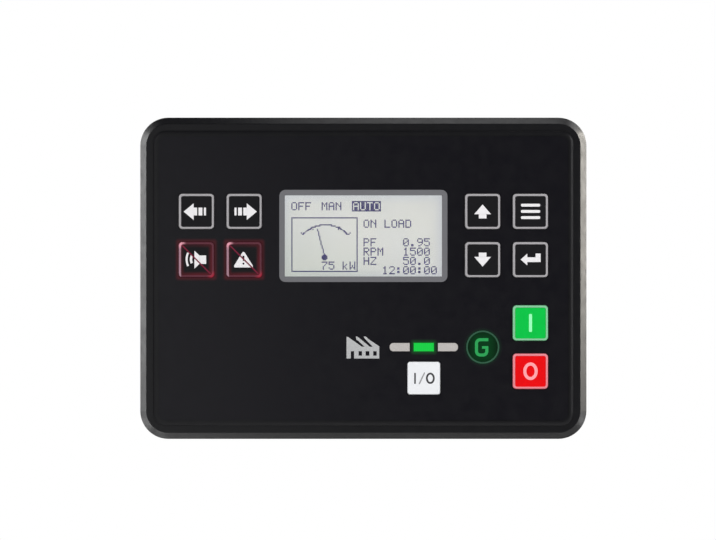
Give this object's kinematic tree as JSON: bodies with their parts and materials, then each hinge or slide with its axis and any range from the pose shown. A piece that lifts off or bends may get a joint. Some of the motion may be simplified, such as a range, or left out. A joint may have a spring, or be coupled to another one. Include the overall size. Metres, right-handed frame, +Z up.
{
  "type": "genset controller",
  "caption": "Panel-mounted engine generator controller: flat black front with square push keys, a graphic display and status lamps, and a rear housing with plug-in screw terminals.",
  "frame": {"origin": "centre of the panel cut-out, on the plane where the gasket meets the panel's front", "axes": "+X to the right as seen from the front, +Y from the front into the panel, +Z up"},
  "size_m": [0.175, 0.0483, 0.126],
  "materials": {
    "black_plastic": "fine matt",
    "overlay_film": "fine matt",
    "clear_window": "clear",
    "gasket_rubber": "matt",
    "key_grey": "satin",
    "key_green": "satin",
    "key_red": "satin",
    "key_white": "satin",
    "lamp_grey": "satin",
    "lamp_green": "satin",
    "lamp_dark": "satin",
    "diode": "gloss",
    "keypad_rubber": "matt",
    "circuit_board": "solder mask",
    "display_glass": "polished",
    "backlight": "satin",
    "flex_film": "satin",
    "steel": "plated",
    "connector_black": "matt",
    "chip": "matt",
    "relay_case": "satin",
    "capacitor_can": "sleeved",
    "ferrite": "matt",
    "terminal_green": "satin",
    "brass_pins": "tinned"
  },
  "bodies": {
    "controller": {"front_frame": "black_plastic", "front_overlay": "overlay_film", "display_window": "clear_window", "panel_gasket": "gasket_rubber", "lamp_load_line": "lamp_grey", "lamp_breaker": "lamp_green", "lamp_generator_line": "lamp_grey", "lamp_generator": "lamp_dark", "status_leds": "diode", "keypad_mat": "keypad_rubber", "front_board": "circuit_board", "main_board": "circuit_board", "display_cell": "display_glass", "display_backlight": "backlight", "display_flex": "flex_film", "board_spacers": "steel", "board_screws": "steel", "link_socket": "connector_black", "link_header": "connector_black", "processor": "chip", "relays": "relay_case", "capacitors": "capacitor_can", "choke": "ferrite", "battery_holder": "connector_black", "clock_battery": "steel", "rear_housing": "black_plastic", "housing_screws": "steel", "terminal_pins": "brass_pins", "terminal_screws": "steel", "usb_socket": "steel", "usb_tongue": "diode", "panel_clamps": "connector_black", "clamp_screws": "steel", "clamp_feet": "connector_black", "header_power": "terminal_green", "plug_power": "terminal_green", "header_current": "terminal_green", "plug_current": "terminal_green", "header_voltage": "terminal_green", "plug_voltage": "terminal_green", "header_inputs": "terminal_green", "plug_inputs": "terminal_green", "header_bus": "terminal_green", "plug_bus": "terminal_green"},
    "key_page_left": {"key_page_left": "key_grey"},
    "key_page_right": {"key_page_right": "key_grey"},
    "key_horn_reset": {"key_horn_reset": "key_grey"},
    "key_fault_reset": {"key_fault_reset": "key_grey"},
    "key_up": {"key_up": "key_grey"},
    "key_menu": {"key_menu": "key_grey"},
    "key_down": {"key_down": "key_grey"},
    "key_enter": {"key_enter": "key_grey"},
    "key_start": {"key_start": "key_green"},
    "key_stop": {"key_stop": "key_red"},
    "key_breaker": {"key_breaker": "key_white"}
  },
  "joints": [
    {"name": "key_page_left_press", "type": "slide", "parent": "controller", "child": "key_page_left", "axis": [0, 1, 0], "range_m": [0, 0.0006], "stiffness_N_per_m": 1500, "springref_m": -0.0005, "deforming": ["keypad_mat"]},
    {"name": "key_page_right_press", "type": "slide", "parent": "controller", "child": "key_page_right", "axis": [0, 1, 0], "range_m": [0, 0.0006], "stiffness_N_per_m": 1500, "springref_m": -0.0005, "deforming": ["keypad_mat"]},
    {"name": "key_horn_reset_press", "type": "slide", "parent": "controller", "child": "key_horn_reset", "axis": [0, 1, 0], "range_m": [0, 0.0006], "stiffness_N_per_m": 1500, "springref_m": -0.0005, "deforming": ["keypad_mat"]},
    {"name": "key_fault_reset_press", "type": "slide", "parent": "controller", "child": "key_fault_reset", "axis": [0, 1, 0], "range_m": [0, 0.0006], "stiffness_N_per_m": 1500, "springref_m": -0.0005, "deforming": ["keypad_mat"]},
    {"name": "key_up_press", "type": "slide", "parent": "controller", "child": "key_up", "axis": [0, 1, 0], "range_m": [0, 0.0006], "stiffness_N_per_m": 1500, "springref_m": -0.0005, "deforming": ["keypad_mat"]},
    {"name": "key_menu_press", "type": "slide", "parent": "controller", "child": "key_menu", "axis": [0, 1, 0], "range_m": [0, 0.0006], "stiffness_N_per_m": 1500, "springref_m": -0.0005, "deforming": ["keypad_mat"]},
    {"name": "key_down_press", "type": "slide", "parent": "controller", "child": "key_down", "axis": [0, 1, 0], "range_m": [0, 0.0006], "stiffness_N_per_m": 1500, "springref_m": -0.0005, "deforming": ["keypad_mat"]},
    {"name": "key_enter_press", "type": "slide", "parent": "controller", "child": "key_enter", "axis": [0, 1, 0], "range_m": [0, 0.0006], "stiffness_N_per_m": 1500, "springref_m": -0.0005, "deforming": ["keypad_mat"]},
    {"name": "key_start_press", "type": "slide", "parent": "controller", "child": "key_start", "axis": [0, 1, 0], "range_m": [0, 0.0006], "stiffness_N_per_m": 1500, "springref_m": -0.0005, "deforming": ["keypad_mat"]},
    {"name": "key_stop_press", "type": "slide", "parent": "controller", "child": "key_stop", "axis": [0, 1, 0], "range_m": [0, 0.0006], "stiffness_N_per_m": 1500, "springref_m": -0.0005, "deforming": ["keypad_mat"]},
    {"name": "key_breaker_press", "type": "slide", "parent": "controller", "child": "key_breaker", "axis": [0, 1, 0], "range_m": [0, 0.0006], "stiffness_N_per_m": 1500, "springref_m": -0.0005, "deforming": ["keypad_mat"]}
  ]
}
